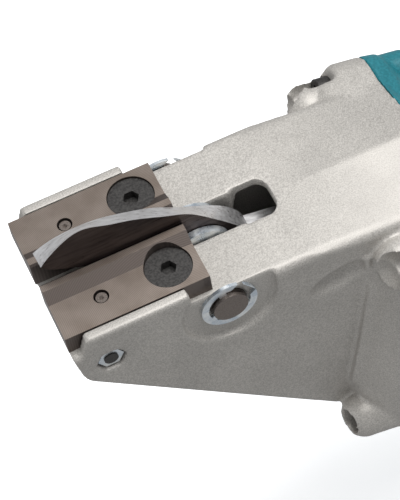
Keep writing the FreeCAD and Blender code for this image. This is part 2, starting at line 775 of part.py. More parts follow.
PRESSURE = 25


def gear_solid(teeth, tip, root, half_tooth, start, end, up, first):
    """Toothed wheel along x, centred at height up; first turns its first tooth."""
    points = []
    for radius, angle in gear_outline(teeth, tip, root, half_tooth):
        points.append(FreeCAD.Vector(
            start, radius * math.cos(angle + first), up + radius * math.sin(angle + first)))
    ring = Part.Face(Part.makePolygon(points + points[:1]))
    return ring.extrude(FreeCAD.Vector(end - start, 0, 0))


pitch_gear = number("tooth_module * gear_teeth / 2")
pitch_pinion = number("tooth_module * pinion_teeth / 2")
slack = 0.14
gear_half = math.pi / 2 / number("gear_teeth") - slack / pitch_gear
pinion_half = math.pi / 2 / number("pinion_teeth") - slack / pitch_pinion
gear_blank = feature("gear_blank", gear_solid(
    int(number("gear_teeth")), pitch_gear + 0.75, pitch_gear - 1.15, gear_half,
    number("gear_front"), number("gear_rear"), number("crank_up"),
    -math.pi / 2 + math.pi / number("gear_teeth")))
pinion = feature("pinion_teeth_solid", gear_solid(
    int(number("pinion_teeth")), pitch_pinion + 0.85, pitch_pinion - 1.05, pinion_half,
    number("gear_front") - 1, number("plate_front") - 0.3, 0, math.pi / 2))

PIN = ("0", "crank_up - throw")
crank_holes = []
for spot in range(6):
    turn = math.radians(60 * spot)
    across = ("%.6f * 13" % math.sin(turn), "crank_up + %.6f * 13" % math.cos(turn))
    crank_holes.append(bar("gear_hole_%d" % spot, "x", "3", "gear_front - 1", "gear_rear + 1", across))
piece("crank_gear", cut(
    "crank_gear_cut", gear_blank,
    bar("gear_bore_bar", "x", "gear_bore", "gear_front - 1", "gear_rear + 1", CRANK),
    *crank_holes), "drive")
piece("crankshaft", fuse(
    "crankshaft_solid",
    bar("crank_pin_bar", "x", "crank_pin", "pin_front", "web_front - 2", PIN),
    bar("crank_disc_bar", "x", "crank_disc", "web_front - 3", "web_front + 0.5", CRANK),
    bar("crank_body", "x", "gear_bore", "web_front", "plate_front - 0.5", CRANK),
    bar("crank_tail", "x", "4", "plate_front - 1", "-3", CRANK),
), "drive")
piece("crank_pin_bearing", tube("roller", "x", "roller_radius", "crank_pin", "roller_front",
                                "roller_rear", PIN), "drive")


def ball_bearing(name, outer, bore, start, end, across, balls):
    """Outer race, inner race and balls; the races leave room for the balls."""
    wall = "(%s - %s)" % (outer, bore)
    outer_race = tube(name + "_outer_race", "x", outer, "%s - %s * 0.28" % (outer, wall), start, end,
                      across)
    inner_race = tube(name + "_inner_race", "x", "%s + %s * 0.28" % (bore, wall), bore, start, end,
                      across)
    ring = number("(%s + %s) / 2" % (outer, bore))
    rolling = []
    for spot in range(balls):
        turn = 2 * math.pi * spot / balls
        ball = doc.addObject("Part::Sphere", "%s_ball_%d" % (name, spot))
        bind(ball, "Radius", wall + " * 0.22")
        place(ball, "(%s + %s) / 2" % (start, end), "%s + %.5f" % (across[0], ring * math.sin(turn)),
              "%s + %.5f" % (across[1], ring * math.cos(turn)))
        rolling.append(ball)
    return group(name, outer_race, inner_race, *rolling)


MOTOR = ("0", "0")
piece("crank_front_bearing", ball_bearing(
    "front_bearing", "16", "gear_bore + running", "web_front + 1.01", "web_rear", CRANK, 9), "drive")
piece("crank_rear_bearing", ball_bearing(
    "rear_bearing", "9.5", "4 + running", "plate_front + 0.5", "plate_front + 6.5", CRANK, 7), "drive")
piece("armature_front_bearing", ball_bearing(
    "armature_bearing", "13", "shaft_radius + running", "plate_front + 2", "0", MOTOR, 8), "drive")
piece("armature_rear_bearing", ball_bearing(
    "tail_bearing", "11", "4 + running", "rear_seat", "rear_seat + 7", MOTOR, 7), "drive")

plate_size = ("seat_half - 0.1", "-case_down + case_wall + 0.1", "case_up - case_wall - 0.1",
              "seat_round")
plate_blank = loft("bearing_plate_blank", [("plate_front + 0.1", *plate_size), ("0", *plate_size)])
plate_notches = [bar("plate_notch_%d" % i, "x", "cap_radius + 0.4", "plate_front - 1", "1", spot)
                 for i, spot in enumerate(SCREW_SPOTS)]
piece("bearing_plate", cut(
    "bearing_plate_cut", plate_blank,
    bar("plate_seat_crank", "x", "9.5", "plate_front - 1", "plate_front + 6.5", CRANK),
    bar("plate_seat_motor", "x", "13", "plate_front + 2", "1", MOTOR),
    bar("plate_way_motor", "x", "8", "plate_front - 1", "1", MOTOR),
    bar("plate_way_crank", "x", "4.6", "plate_front - 1", "-2", CRANK),
    *plate_notches,
), "drive")

housing_screws = []
for spot, across in enumerate(SCREW_SPOTS):
    cap = cut(
        "housing_cap_%d" % spot,
        bar("housing_head_%d" % spot, "x", "cap_radius", "seat_front - cap_tall", "seat_front", across),
        hexagon("housing_socket_%d" % spot, "x", "4", "seat_front - cap_tall - 1",
                "seat_front - cap_tall + 2.6", across),
    )
    housing_screws.append(fuse(
        "housing_screw_%d" % spot, cap,
        bar("housing_shank_%d" % spot, "x", "2.5", "seat_front - 0.5",
            "screw_reach", across)))
piece("housing_screws", group("housing_screw_set", *housing_screws), "drive")

# ---------------------------------------------------------------- motor

piece("armature_shaft", fuse(
    "armature_shaft_solid", pinion,
    bar("armature_bar", "x", "shaft_radius", "plate_front - 0.3", "rear_seat - 0.5", MOTOR),
    bar("armature_tail", "x", "4", "rear_seat - 1", "rear_seat + 6.8", MOTOR),
), "drive")

slots = []
for spot in range(12):
    slot_cut = block("core_slot_%d" % spot, ("stator_front - 1", "stator_rear + 1"),
                     ("-1.4", "1.4"), ("core_radius - 7", "core_radius + 2"))
    spun = group("core_slot_spun_%d" % spot, slot_cut)
    spun.Placement = FreeCAD.Placement(
        FreeCAD.Vector(), FreeCAD.Rotation(FreeCAD.Vector(1, 0, 0), 30 * spot))
    slots.append(spun)
piece("armature_core", cut(
    "armature_core_cut",
    tube("armature_stack", "x", "core_radius", "shaft_radius", "stator_front", "stator_rear", MOTOR),
    *slots), "drive")
piece("armature_windings", group(
    "armature_coils",
    tube("coil_front", "x", "core_radius - 2.5", "shaft_radius", "stator_front - 6", "stator_front", MOTOR),
    tube("coil_rear", "x", "core_radius - 2.5", "shaft_radius", "stator_rear", "com_front - 1.5", MOTOR),
), "drive")
bars = []
for spot in range(24):
    line = block("com_gap_%d" % spot, ("com_front + 2", "com_rear + 1"), ("-0.3", "0.3"),
                 ("com_radius - 1.5", "com_radius + 1"))
    spun = group("com_gap_spun_%d" % spot, line)
    spun.Placement = FreeCAD.Placement(
        FreeCAD.Vector(), FreeCAD.Rotation(FreeCAD.Vector(1, 0, 0), 15 * spot))
    bars.append(spun)
piece("commutator", cut(
    "commutator_cut",
    tube("commutator_drum", "x", "com_radius", "shaft_radius", "com_front", "com_rear", MOTOR),
    *bars), "drive")

vanes = []
for spot in range(14):
    vane = block("vane_%d" % spot, ("3", "9"), ("-0.9", "0.9"), ("15", "fan_radius - 0.5"))
    spun = group("vane_spun_%d" % spot, vane)
    spun.Placement = FreeCAD.Placement(
        FreeCAD.Vector(), FreeCAD.Rotation(FreeCAD.Vector(1, 0, 0), 360 / 14 * spot))
    vanes.append(spun)
piece("fan", fuse(
    "fan_solid",
    tube("fan_disc", "x", "fan_radius", "shaft_radius", "1.2", "3.4", MOTOR),
    tube("fan_hub", "x", "10", "shaft_radius", "1.2", "10", MOTOR),
    *vanes), "drive")
piece("fan_baffle", tube("baffle", "x", "barrel_in - gap", "25", "9.8", "11.3", MOTOR), "drive")
piece("field_core", tube("field_stack", "x", "barrel_in - gap", "stator_in", "stator_front",
                         "stator_rear", MOTOR), "drive")
piece("field_coils", group(
    "field_coil_set",
    tube("field_coil_front", "x", "33", "stator_in + 1", "stator_front - 5", "stator_front", MOTOR),
    tube("field_coil_rear", "x", "33", "stator_in + 1", "stator_rear", "stator_rear + 6", MOTOR),
), "drive")

brush_x = ("(com_front + com_rear) / 2 - 3.5", "(com_front + com_rear) / 2 + 3.5")
brush_holder = cut(
    "brush_holder",
    block("brush_box", (brush_x[0] + " - 1.5", brush_x[1] + " + 1.5"),
          ("com_radius + 2", "barrel_in - 0.4"), ("-5", "5")),
    block("brush_way", brush_x, ("0", "60"), ("-3.5", "3.5")),
)
piece("brush_holders", pair("brush_holder_pair", brush_holder), "drive")
piece("carbon_brushes", pair("brush_pair", block(
    "brush", ("%s + 0.05" % brush_x[0], "%s - 0.05" % brush_x[1]),
    ("com_radius + 0.25", "com_radius + 16"), ("-3.45", "3.45"))), "drive")
brush_cap = cut(
    "brush_cap",
    bar("brush_cap_disc", "y", "8", "barrel - 3.2", "barrel + 0.4",
        ("(com_front + com_rear) / 2", "0")),
    block("brush_cap_slot", (brush_x[0], brush_x[1]), ("barrel - 0.9", "60"), ("-0.7", "0.7")),
)
piece("brush_caps", pair("brush_cap_pair", brush_cap), "drive")

# ---------------------------------------------------------------- motor housing


def motor_housing():
    """Plastic housing: oval at the gear case, round round the motor, with vents."""
    shoulder = loft("housing_shoulder", [
        ("joint", "case_half", "-case_down", "case_up", "case_round"),
        ("joint + 6", "case_half", "-case_down", "case_up - 0.6", "case_round"),
        ("barrel_full", "barrel", "-barrel", "barrel", "barrel - 0.1"),
    ])
    crest = doc.addObject("PartDesign::Body", "housing_crest")
    sections = []
    for where, half, low, side, middle in (
        ("joint", "nose_half", "20", "case_up + 0.2", "crease_up"),
        ("barrel_full + 8", "8", "20", "barrel - 3", "barrel - 1"),
    ):
        sections.append(outline_sketch(crest, "crest_%d" % len(sections), "YZ", [
            ("-(%s)" % half, low), (half, low), (half, side), ("0", middle), ("-(%s)" % half, side),
        ], where))
    skin = crest.newObject("PartDesign::AdditiveLoft", "housing_crest_loft")
    skin.Profile = sections[0]
    skin.Sections = [sections[1]]
    skin.Ruled = True
    outer = bar("housing_barrel", "x", "barrel", "barrel_full", "barrel_rear", MOTOR)
    posts = [bar("housing_post_%d" % i, "x", "6.5", "joint", "screw_reach + 2", spot)
             for i, spot in enumerate(SCREW_SPOTS)]
    bore = bar("housing_bore", "x", "barrel_in", "joint - 1", "barrel_rear + 1", MOTOR)
    ways = [bar("housing_way_%d" % i, "x", "2.5", "joint - 1", "screw_reach", spot)
            for i, spot in enumerate(SCREW_SPOTS)]
    vents = []
    for side in (1, -1):
        for spot in range(6):
            angle = 90 + side * (34 + 13 * spot)
            vent = block("vent_%d_%d" % (side, spot), ("70", "84"), ("-1.3", "1.3"),
                         ("barrel_in - 3", "barrel + 3"))
            spun = group("vent_spun_%d_%d" % (side, spot), vent)
            spun.Placement = FreeCAD.Placement(
                FreeCAD.Vector(), FreeCAD.Rotation(FreeCAD.Vector(1, 0, 0), angle - 90))
            vents.append(spun)
    cap_seats = bar("brush_cap_seat", "y", "8.2", "-60", "60", ("(com_front + com_rear) / 2", "0"))
    return cut("motor_housing_cut", fuse("housing_outside", shoulder, crest, outer, *posts), bore, *ways,
               *vents, cap_seats)


piece("motor_housing", motor_housing(), "drive")

# ---------------------------------------------------------------- handle


def handle_solid(name, inset, front, rear):
    """Tail shell and grip as one solid, drawn in by inset; front and rear are its ends."""
    tail = bar(name + "_tail", "x", "barrel - " + inset, front, rear, MOTOR)
    nose_of_tail = doc.addObject("Part::Sphere", name + "_tail_cap")
    bind(nose_of_tail, "Radius", "barrel * 1.35 - " + inset)
    place(nose_of_tail, "tail_rear - barrel * 1.35", "0", "0")
    rounded = doc.addObject("Part::Common", name + "_tail_round")
    rounded.Base = tail
    rounded.Tool = nose_of_tail
    grip = plate(
        name + "_grip", "XZ",
        [
            ("barrel_rear + 8 + " + inset, "-30"),
            ("barrel_rear + 8 + " + inset, "-52"),
            ("barrel_rear + 20 + " + inset, "-70"),
            ("barrel_rear + 23 + " + inset, "grip_end + " + inset),
            ("tail_rear - " + inset, "grip_end + " + inset),
            ("tail_rear - 4 - " + inset, "-52"),
            ("tail_rear - 12 - " + inset, "-20"),
        ],
        "-grip_half + " + inset, "grip_half - " + inset,
        rounds=[(
            lambda edge: abs(abs(edge.CenterOfMass.y) - number("grip_half - " + inset)) < 0.1
            and edge.CenterOfMass.z < -40 and edge.CenterOfMass.z > number("grip_end") + 8,
            "7" if inset == "0" else "4",
        )],
    )
    return fuse(name, rounded, grip)


HANDLE_SCREWS = [
    ("barrel_rear + 50", "28", "24"),
    ("barrel_rear + 50", "-24", "24"),
    ("barrel_rear + 46", "-60", "grip_half - 2.5"),
    ("barrel_rear + 29", "-99", "grip_half - 2.5"),
    ("barrel_rear + 29", "-118", "grip_half - 2.5"),
]


def handle():
    """Both halves of the handle in one, hollow, with screw posts, the seat of the rear
    bearing and the ways of the trigger, the button and the inlet."""
    outside = handle_solid("handle_outside", "0", "barrel_rear", "tail_rear")
    inside = handle_solid("handle_inside", "shell_wall", "barrel_rear - 1", "tail_rear")
    seat = cut(
        "tail_seat",
        bar("tail_seat_web", "x", "barrel - 1", "rear_seat - 1", "rear_seat + 9", MOTOR),
        bar("tail_seat_bore", "x", "11", "rear_seat - 2", "rear_seat + 7", MOTOR),
    )
    posts = doc.addObject("Part::Common", "screw_posts")
    posts.Base = outside
    posts.Tool = fuse("screw_post_bars", *[
        bar("screw_post_%d" % i, "y", "4.6", "-60", "60", (u, up))
        for i, (u, up, reach) in enumerate(HANDLE_SCREWS)])
    shell = fuse("handle_shell", cut("handle_hollow", outside, inside), seat, posts)
    sinks = [bar("screw_sink_%d" % i, "y", "3.4", reach, "60", (u, up))
             for i, (u, up, reach) in enumerate(HANDLE_SCREWS)]
    threads = [bar("screw_thread_%d" % i, "y", "1.6", "-10", "30", (u, up))
               for i, (u, up, reach) in enumerate(HANDLE_SCREWS)]
    return cut(
        "handle_cut", shell,
        block("trigger_way", ("barrel_rear", "barrel_rear + 34"), ("-6.6", "6.6"), ("-84", "-50")),
        bar("lock_way", "y", "4.6", "-grip_half - 2", "0", LOCK),
        bar("inlet_way", "z", "8", "grip_end - 1", "grip_end + shell_wall + 1", INLET),
        *sinks, *threads,
    )


LOCK = ("barrel_rear + 34", "-60")
INLET = ("tail_rear - 17", "0")
whole_handle = handle()
half_space = block("left_space", ("0", "300"), ("-90", "0"), ("-200", "120"))
left = doc.addObject("Part::Common", "handle_left_half")
left.Base = whole_handle
left.Tool = half_space
piece("handle_left", left, "drive")
piece("handle_right", cut("handle_right_half", whole_handle, half_space), "drive")

trigger_blade = plate(
    "trigger_finger", "XZ",
    [
        ("barrel_rear + 3", "-53"),
        ("barrel_rear + 7.5", "-66"),
        ("barrel_rear + 11", "-83"),
        ("barrel_rear + 26", "-83"),
        ("barrel_rear + 26", "-53"),
    ],
    "-6.2", "6.2",
    rounds=[(
        lambda edge: abs(abs(edge.CenterOfMass.y) - 6.2) < 0.1
        and edge.CenterOfMass.x < number("barrel_rear + 14"), "2.5")],
)
piece("trigger", trigger_blade, "drive")
piece("switch_body", block("switch_box", ("barrel_rear + 33", "barrel_rear + 51"), ("-10", "10"),
                           ("-92", "-66.5")), "drive")
piece("lock_button", fuse(
    "lock_button_solid",
    bar("lock_cap", "y", "4.3", "-grip_half - 3.5", "-grip_half + 5", LOCK),
    bar("lock_stem", "y", "2.4", "-grip_half + 4", "-9.2", LOCK),
), "drive")
piece("cord_inlet", cut(
    "inlet_bush",
    fuse("inlet_solid",
         bar("inlet_flange", "z", "10", "grip_end + shell_wall + 0.05", "grip_end + shell_wall + 3", INLET),
         bar("inlet_neck", "z", "7.9", "grip_end - 1", "grip_end + shell_wall + 1", INLET),
         bar("inlet_nose", "z", "inlet_radius + 2.4", "grip_end - inlet_reach", "grip_end", INLET)),
    bar("inlet_bore", "z", "inlet_radius", "grip_end - inlet_reach - 1", "grip_end - 1.5", INLET),
), "drive")

handle_screws = []
for spot, (u, up, reach) in enumerate(HANDLE_SCREWS):
    handle_screws.append(cut(
        "handle_screw_%d" % spot,
        fuse("handle_screw_solid_%d" % spot,
             bar("handle_screw_head_%d" % spot, "y", "3.2", reach, reach + " + 2.2", (u, up)),
             bar("handle_screw_shank_%d" % spot, "y", "1.6", "-9", reach + " + 0.5", (u, up))),
        block("handle_screw_slot_%d" % spot, (u + " - 2.2", u + " + 2.2"),
              (reach + " + 1.2", "60"), (up + " - 0.45", up + " + 0.45")),
    ))
piece("handle_screws", group("handle_screw_set", *handle_screws), "drive")

# ---------------------------------------------------------------- row frame and files

doc.recompute()
box = FreeCAD.BoundBox()
for item in pieces:
    box.add(item.Shape.BoundBox)
sheet.set("B1", "%.3f" % (-(box.XMin + box.XMax) / 2))
sheet.set("B2", "%.3f" % -box.ZMin)
doc.recompute()

for item in doc.Objects:
    if "Invalid" in item.State or "Error" in item.State:
        raise RuntimeError("%s did not build: %s" % (item.Label, item.State))
for item in pieces:
    if item.Shape.isNull() or not item.Shape.isValid():
        raise RuntimeError("%s has no valid shape" % item.Label)

os.makedirs("parts", exist_ok=True)
for item in pieces:
    item.Shape.exportStep(os.path.join("parts", item.Label + ".step"))
print("pieces", len(pieces), "frame", number("frame_x"), number("frame_z"))
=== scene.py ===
"""Electric shear for cement board: its looks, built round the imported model, in metres."""

import math

import bpy
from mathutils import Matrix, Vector


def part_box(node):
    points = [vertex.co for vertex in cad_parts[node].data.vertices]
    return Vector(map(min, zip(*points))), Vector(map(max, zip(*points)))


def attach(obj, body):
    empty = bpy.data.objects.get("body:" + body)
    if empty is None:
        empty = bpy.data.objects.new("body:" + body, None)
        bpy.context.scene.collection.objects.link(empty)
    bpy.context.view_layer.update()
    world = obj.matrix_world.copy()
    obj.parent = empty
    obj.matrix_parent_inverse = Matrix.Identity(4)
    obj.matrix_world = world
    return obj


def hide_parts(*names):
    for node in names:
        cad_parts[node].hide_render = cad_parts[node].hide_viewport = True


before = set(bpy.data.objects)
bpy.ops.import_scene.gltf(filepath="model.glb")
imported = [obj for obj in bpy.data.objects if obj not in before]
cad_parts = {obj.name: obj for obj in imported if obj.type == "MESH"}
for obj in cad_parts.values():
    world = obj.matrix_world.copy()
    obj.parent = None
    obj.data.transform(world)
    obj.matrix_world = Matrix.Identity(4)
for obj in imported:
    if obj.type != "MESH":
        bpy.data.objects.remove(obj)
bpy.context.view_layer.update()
bpy.ops.object.select_all(action="DESELECT")

# ------------------------------------------------------------------ camera
# A long lens, high on the operator's left and in front of the blades, rolled a little so
# that the tool runs up to the right.  It is placed from the blade screws.
screws_low, screws_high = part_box("side_blade_screws")
screw_sink = 0.0009
station = Vector(((screws_low.x + screws_high.x) / 2, 0, screws_high.z + screw_sink))
camera_from_station = Vector((-0.0861, -0.4249, 0.6170))
camera_turn = (33.68, 7.09, -23.93)
bpy.ops.object.camera_add(
    location=station + camera_from_station,
    rotation=[math.radians(angle) for angle in camera_turn],
)
camera = bpy.context.object
camera.data.lens = 164.7
camera.data.clip_start = 0.01
bpy.context.scene.camera = camera

# ------------------------------------------------------------------ floor and light
# A plain pale floor under the grip, lit through like a light table so that shadows stay
# faint; it throws little light back up, so the flanks stay darker than the deck.  A broad
# soft box hangs over the deck, a weaker one before the nose, under an even pale sky.
bpy.ops.mesh.primitive_plane_add(size=8, location=(0, 0, 0))
floor = bpy.context.object
floor.name = "floor"
floor_paint = bpy.data.materials.new("pale_floor")
floor_paint.use_nodes = True
floor_shader = floor_paint.node_tree.nodes["Principled BSDF"]
floor_view = floor_paint.node_tree.nodes.new("ShaderNodeLightPath")
floor_tone = floor_paint.node_tree.nodes.new("ShaderNodeMapRange")
floor_tone.inputs["To Min"].default_value = 0.45
floor_tone.inputs["To Max"].default_value = 0.98
floor_links = floor_paint.node_tree.links
floor_links.new(floor_view.outputs["Is Camera Ray"], floor_tone.inputs["Value"])
floor_links.new(floor_tone.outputs["Result"], floor_shader.inputs["Base Color"])
floor_glow = floor_paint.node_tree.nodes.new("ShaderNodeMapRange")
floor_glow.inputs["To Max"].default_value = 0.45
floor_links.new(floor_view.outputs["Is Camera Ray"], floor_glow.inputs["Value"])
floor_links.new(floor_glow.outputs["Result"], floor_shader.inputs["Emission Strength"])
floor_shader.inputs["Emission Color"].default_value = (1, 1, 1, 1)
floor_shader.inputs["Roughness"].default_value = 0.9
floor.data.materials.append(floor_paint)


def soft_box(name, place, size, power):
    """Square light that looks at the blades."""
    bpy.ops.object.light_add(type="AREA", location=station + Vector(place))
    lamp = bpy.context.object
    lamp.name = name
    lamp.data.size = size
    lamp.data.energy = power
    lamp.rotation_euler = (-Vector(place)).to_track_quat("-Z", "Y").to_euler()


soft_box("key_light", (0.30, 0.0, 1.0), 0.7, 11.5)
soft_box("nose_light", (-0.95, 0.05, 0.25), 0.6, 1.5)
sky = bpy.data.worlds.new("studio")
sky.use_nodes = True
sky.node_tree.nodes["Background"].inputs["Color"].default_value = (0.95, 0.97, 1.0, 1)
sky.node_tree.nodes["Background"].inputs["Strength"].default_value = 0.50
bpy.context.scene.world = sky
bpy.context.scene.view_settings.view_transform = "Standard"

# ------------------------------------------------------------------ cast head
# Nose, deck, fences and gear case are one aluminium pressure casting, tumbled and left
# unpainted: soft edges, a fine bright grain and a few faint clouds of tone.


def new_finish(name, metallic, roughness):
    """Material with the shader and the object's own coordinates, ready to be wired."""
    finish = bpy.data.materials.new(name)
    finish.use_nodes = True
    shader = finish.node_tree.nodes["Principled BSDF"]
    shader.inputs["Metallic"].default_value = metallic
    shader.inputs["Roughness"].default_value = roughness
    place = finish.node_tree.nodes.new("ShaderNodeTexCoord").outputs["Object"]
    return finish, shader, place


def grain(finish, place, scale, detail=3.0, stretch=(1, 1, 1)):
    """Noise whose grains are about 1 / scale metres across."""
    tree = finish.node_tree
    spread = tree.nodes.new("ShaderNodeMapping")
    spread.inputs["Scale"].default_value = stretch
    noise = tree.nodes.new("ShaderNodeTexNoise")
    noise.inputs["Scale"].default_value = scale
    noise.inputs["Detail"].default_value = detail
    tree.links.new(place, spread.inputs["Vector"])
    tree.links.new(spread.outputs["Vector"], noise.inputs["Vector"])
    return noise.outputs["Fac"]


def shades(finish, value, dark, light, low=0.35, high=0.65):
    """Colours from dark to light as the value goes from low to high."""
    ramp = finish.node_tree.nodes.new("ShaderNodeValToRGB")
    ramp.color_ramp.elements[0].position = low
    ramp.color_ramp.elements[0].color = (*dark, 1)
    ramp.color_ramp.elements[1].position = high
    ramp.color_ramp.elements[1].color = (*light, 1)
    finish.node_tree.links.new(value, ramp.inputs["Fac"])
    return ramp.outputs["Color"]


def blend_colours(finish, first, second, amount, mode="MIX"):
    """Two colours mixed; amount is a number or an output."""
    tree = finish.node_tree
    mix = tree.nodes.new("ShaderNodeMix")
    mix.data_type = "RGBA"
    mix.blend_type = mode
    if hasattr(amount, "node"):
        tree.links.new(amount, mix.inputs["Factor"])
    else:
        mix.inputs["Factor"].default_value = amount
    tree.links.new(first, mix.inputs["A"])
    tree.links.new(second, mix.inputs["B"])
    return mix.outputs["Result"]


def roughen(finish, shader, value, low, high):
    """Roughness that runs from low to high with the value."""
    spread = finish.node_tree.nodes.new("ShaderNodeMapRange")
    spread.inputs["From Min"].default_value = 0.3
    spread.inputs["From Max"].default_value = 0.7
    spread.inputs["To Min"].default_value = low
    spread.inputs["To Max"].default_value = high
    finish.node_tree.links.new(value, spread.inputs["Value"])
    finish.node_tree.links.new(spread.outputs["Result"], shader.inputs["Roughness"])


def emboss(finish, shader, value, strength, depth):
    """Relief from the value, depth metres from black to white."""
    tree = finish.node_tree
    bump = tree.nodes.new("ShaderNodeBump")
    bump.inputs["Strength"].default_value = strength
    bump.inputs["Distance"].default_value = depth
    tree.links.new(value, bump.inputs["Height"])
    if shader.inputs["Normal"].is_linked:
        tree.links.new(shader.inputs["Normal"].links[0].from_socket, bump.inputs["Normal"])
    tree.links.new(bump.outputs["Normal"], shader.inputs["Normal"])


def paint(finish, shader, colour):
    finish.node_tree.links.new(colour, shader.inputs["Base Color"])


def dress(finish, *nodes):
    """Gives CAD pieces that keep their shape a finish."""
    for node in nodes:
        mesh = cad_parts[node].data
        mesh.materials.clear()
        mesh.materials.append(finish)


def only(thing):
    """Selects one object and makes it the active one."""
    bpy.ops.object.select_all(action="DESELECT")
    thing.select_set(True)
    bpy.context.view_layer.objects.active = thing


def copy_of(node, name):
    """The CAD piece's mesh as a new object, its loose triangles merged."""
    piece = bpy.data.objects.new(name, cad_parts[node].data.copy())
    bpy.context.scene.collection.objects.link(piece)
    only(piece)
    bpy.ops.object.mode_set(mode="EDIT")
    bpy.ops.mesh.select_all(action="SELECT")
    bpy.ops.mesh.remove_doubles(threshold=1e-6)
    bpy.ops.object.mode_set(mode="OBJECT")
    return piece


def apply_modifier(piece, kind, **values):
    modifier = piece.modifiers.new(kind.lower(), kind)
    for key, value in values.items():
        setattr(modifier, key, value)
    only(piece)
    bpy.ops.object.modifier_apply(modifier=modifier.name)


def soften(piece, voxel, rounds, keep):
    """Remeshes a piece and relaxes it, which rounds its edges as a mould does."""
    apply_modifier(piece, "REMESH", mode="VOXEL", voxel_size=voxel, adaptivity=0.0)
    apply_modifier(piece, "SMOOTH", factor=0.5, iterations=rounds)
    apply_modifier(piece, "DECIMATE", ratio=keep)
    only(piece)
    bpy.ops.object.shade_smooth_by_angle(angle=math.radians(40))


def stand_for(piece, node, body, finish):
    """The piece takes a CAD piece's place and rides on its body."""
    piece.data.materials.clear()
    piece.data.materials.append(finish)
    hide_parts(node)
    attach(piece, body)


cast_metal, cast_shader, cast_place = new_finish("cast_aluminium", 0.35, 0.5)
cast_grain = grain(cast_metal, cast_place, 2300, 2.0)
cast_cloud = grain(cast_metal, cast_place, 45, 3.0)
cast_tone = shades(cast_metal, cast_grain, (0.36, 0.34, 0.312), (0.555, 0.53, 0.492))
cast_clouds = shades(cast_metal, cast_cloud, (0.90, 0.90, 0.90), (1.0, 1.0, 1.0))
paint(cast_metal, cast_shader, blend_colours(cast_metal, cast_tone, cast_clouds, 1.0, "MULTIPLY"))
roughen(cast_metal, cast_shader, cast_grain, 0.38, 0.62)
emboss(cast_metal, cast_shader, cast_grain, 0.45, 0.00012)

head = copy_of("head_casting", "cast_head")
scoop_rear, scoop_out, scoop_down = 0.0545, 0.0382, 0.0265
scoop_radii = (0.0165, 0.0115, 0.0075)
scoop_rise, scoop_yaw = 14, 9


def scoop(side):
    """Shallow hollow in a flank, in front of the upper screw lug."""
    place = station + Vector((scoop_rear, side * scoop_out, -scoop_down))
    bpy.ops.mesh.primitive_uv_sphere_add(segments=48, ring_count=24, radius=1, location=place)
    cutter = bpy.context.object
    cutter.scale = scoop_radii
    cutter.rotation_euler = (0, math.radians(-scoop_rise), side * math.radians(scoop_yaw))
    bpy.ops.object.transform_apply(location=True, rotation=True, scale=True)
    apply_modifier(head, "BOOLEAN", operation="DIFFERENCE", object=cutter, solver="EXACT")
    bpy.data.objects.remove(cutter)


bead_steps = 8
beside_the_head = 0.1
flank_ridge = [(63.4, -21), (63.6, -36.7), (58.3, -63.1), (52.3, -91.4)]
ridge_thickness = 0.0014


def bead(side, corners, thickness):
    """Raised line that follows a flank; corners are (x, z) in millimetres from the screws."""
    path = []
    for (start_x, start_z), (end_x, end_z) in zip(corners, corners[1:]):
        for step in range(bead_steps):
            along = step / bead_steps
            path.append((start_x + (end_x - start_x) * along, start_z + (end_z - start_z) * along))
    path.append(corners[-1])
    inward = Vector((0, -side, 0))
    hits = [
        head.ray_cast(station + Vector((x / 1000, side * beside_the_head, z / 1000)), inward)
        for x, z in path
    ]
    line = bpy.data.curves.new("bead", "CURVE")
    line.dimensions = "3D"
    line.bevel_depth = thickness
    line.use_fill_caps = True
    spline = line.splines.new("POLY")
    touched = [place for hit, place, _, _ in hits if hit]
    spline.points.add(len(touched) - 1)
    for point, place in zip(spline.points, touched):
        point.co = (*place, 1)
    rod = bpy.data.objects.new("bead", line)
    bpy.context.scene.collection.objects.link(rod)
    only(rod)
    bpy.ops.object.convert(target="MESH")
    return rod


beads = [bead(side, flank_ridge, ridge_thickness) for side in (1, -1)]
for side in (1, -1):
    scoop(side)
for rod in beads:
    only(head)
    rod.select_set(True)
    bpy.ops.object.join()
soften(head, 0.0008, 3, 0.35)
stand_for(head, "head_casting", "tool_body", cast_metal)

# ------------------------------------------------------------------ side blades
# Two bars of tool steel.  The face mill leaves fine arcs across the flats and handling leaves
# the steel a brownish grey; faces that tilt away from up, the slopes beside the cutting edges
# among them, get a painted shade.
ground_steel, ground_shader, ground_place = new_finish("ground_tool_steel", 0.75, 0.36)
arc_centre = station + Vector((0.004, -0.062, -0.02))
arc_pitch = 0.0006
arcs_place = ground_steel.node_tree.nodes.new("ShaderNodeMapping")
arcs_place.vector_type = "POINT"
arcs_place.inputs["Location"].default_value = -arc_centre
arcs = ground_steel.node_tree.nodes.new("ShaderNodeTexWave")
arcs.wave_type = "RINGS"
arcs.rings_direction = "Z"
arcs.inputs["Scale"].default_value = math.tau / (20 * arc_pitch)
arcs.inputs["Distortion"].default_value = 1.2
arcs.inputs["Detail"].default_value = 3.0
arcs.inputs["Detail Scale"].default_value = 0.6
ground_steel.node_tree.links.new(ground_place, arcs_place.inputs["Vector"])
ground_steel.node_tree.links.new(arcs_place.outputs["Vector"], arcs.inputs["Vector"])
ground_marks = shades(ground_steel, arcs.outputs["Fac"],
                      (0.215, 0.178, 0.152), (0.285, 0.238, 0.205), 0.1, 0.9)
ground_stains = shades(ground_steel, grain(ground_steel, ground_place, 120, 4.0),
                       (0.80, 0.78, 0.76), (1.0, 1.0, 1.0))
ground_flats = blend_colours(ground_steel, ground_marks, ground_stains, 1.0, "MULTIPLY")
ground_normal = ground_steel.node_tree.nodes.new("ShaderNodeSeparateXYZ")
ground_steel.node_tree.links.new(ground_place.node.outputs["Normal"],
                                 ground_normal.inputs["Vector"])
